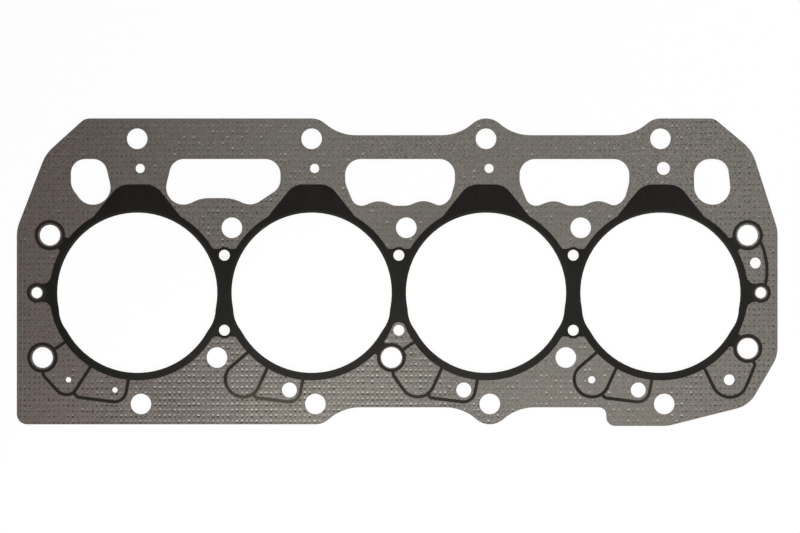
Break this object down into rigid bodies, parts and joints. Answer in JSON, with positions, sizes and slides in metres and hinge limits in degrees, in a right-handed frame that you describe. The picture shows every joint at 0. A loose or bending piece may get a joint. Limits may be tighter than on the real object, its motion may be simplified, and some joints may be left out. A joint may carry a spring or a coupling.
{
  "type": "cylinder head gasket",
  "caption": "Flat cylinder head gasket for an in-line engine: fibre-faced steel sheet with dark steel bore shields, water openings, bolt holes and printed sealing beads.",
  "frame": {"origin": "axis of the left-hand cylinder bore at the block face", "axes": "+X along the bore row from the first bore to the last, +Y to the side with the large water openings, +Z from the block to the cylinder head"},
  "size_m": [0.4055, 0.164, 0.0016],
  "materials": {
    "facing": "matte pressed graphite and fibre sheet",
    "core": "bare steel",
    "shield": "satin black coating on steel",
    "bead": "matte black printed sealant"
  },
  "bodies": {
    "root": {"bore_shield": "shield", "steel_core": "core", "lower_facing": "facing", "upper_facing": "facing", "head_bead_cylinder_1": "bead", "head_bead_cylinder_2": "bead", "head_bead_cylinder_3": "bead", "head_bead_cylinder_4": "bead", "head_bead_left_bolt": "bead", "head_bead_left_end": "bead", "head_bead_low_right": "bead", "head_bead_right": "bead", "block_bead_cylinder_1": "bead", "block_bead_cylinder_2": "bead", "block_bead_cylinder_3": "bead", "block_bead_cylinder_4": "bead", "block_bead_left_bolt": "bead", "block_bead_left_end": "bead", "block_bead_low_right": "bead", "block_bead_right": "bead"}
  },
  "joints": []
}
